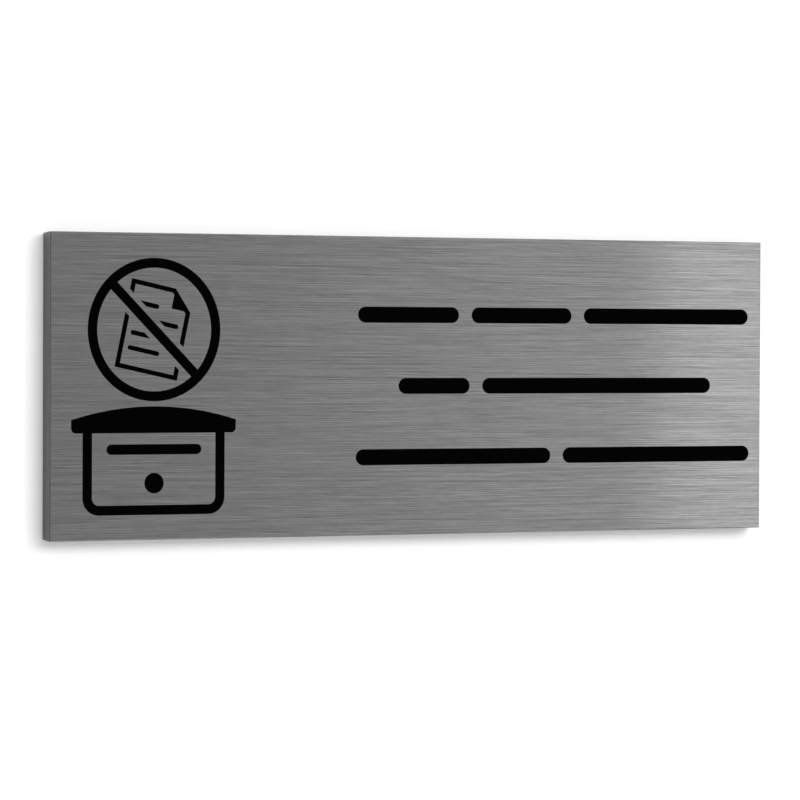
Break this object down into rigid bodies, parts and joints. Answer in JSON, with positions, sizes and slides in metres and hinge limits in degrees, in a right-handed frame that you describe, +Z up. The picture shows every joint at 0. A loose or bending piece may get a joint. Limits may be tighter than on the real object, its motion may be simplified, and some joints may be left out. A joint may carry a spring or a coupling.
{
  "type": "no junk mail sign",
  "caption": "Small brushed steel plate to stick on a letterbox, printed in black with a pictogram that refuses leaflets and with plain bars in place of its wording.",
  "frame": {"origin": "centre of the flat back of the plate, which is stuck to the letterbox", "axes": "+X along the plate to the right as it is read, +Z up, -Y out of the printed front, +Y into the letterbox"},
  "size_m": [0.08, 0.0021, 0.03],
  "materials": {
    "brushed_steel": "brushed along the length of the plate",
    "black_print": "satin black ink, printed on"
  },
  "bodies": {
    "root": {"plate": "brushed_steel", "printed_pictogram": "black_print", "printed_lines": "black_print"}
  },
  "joints": []
}
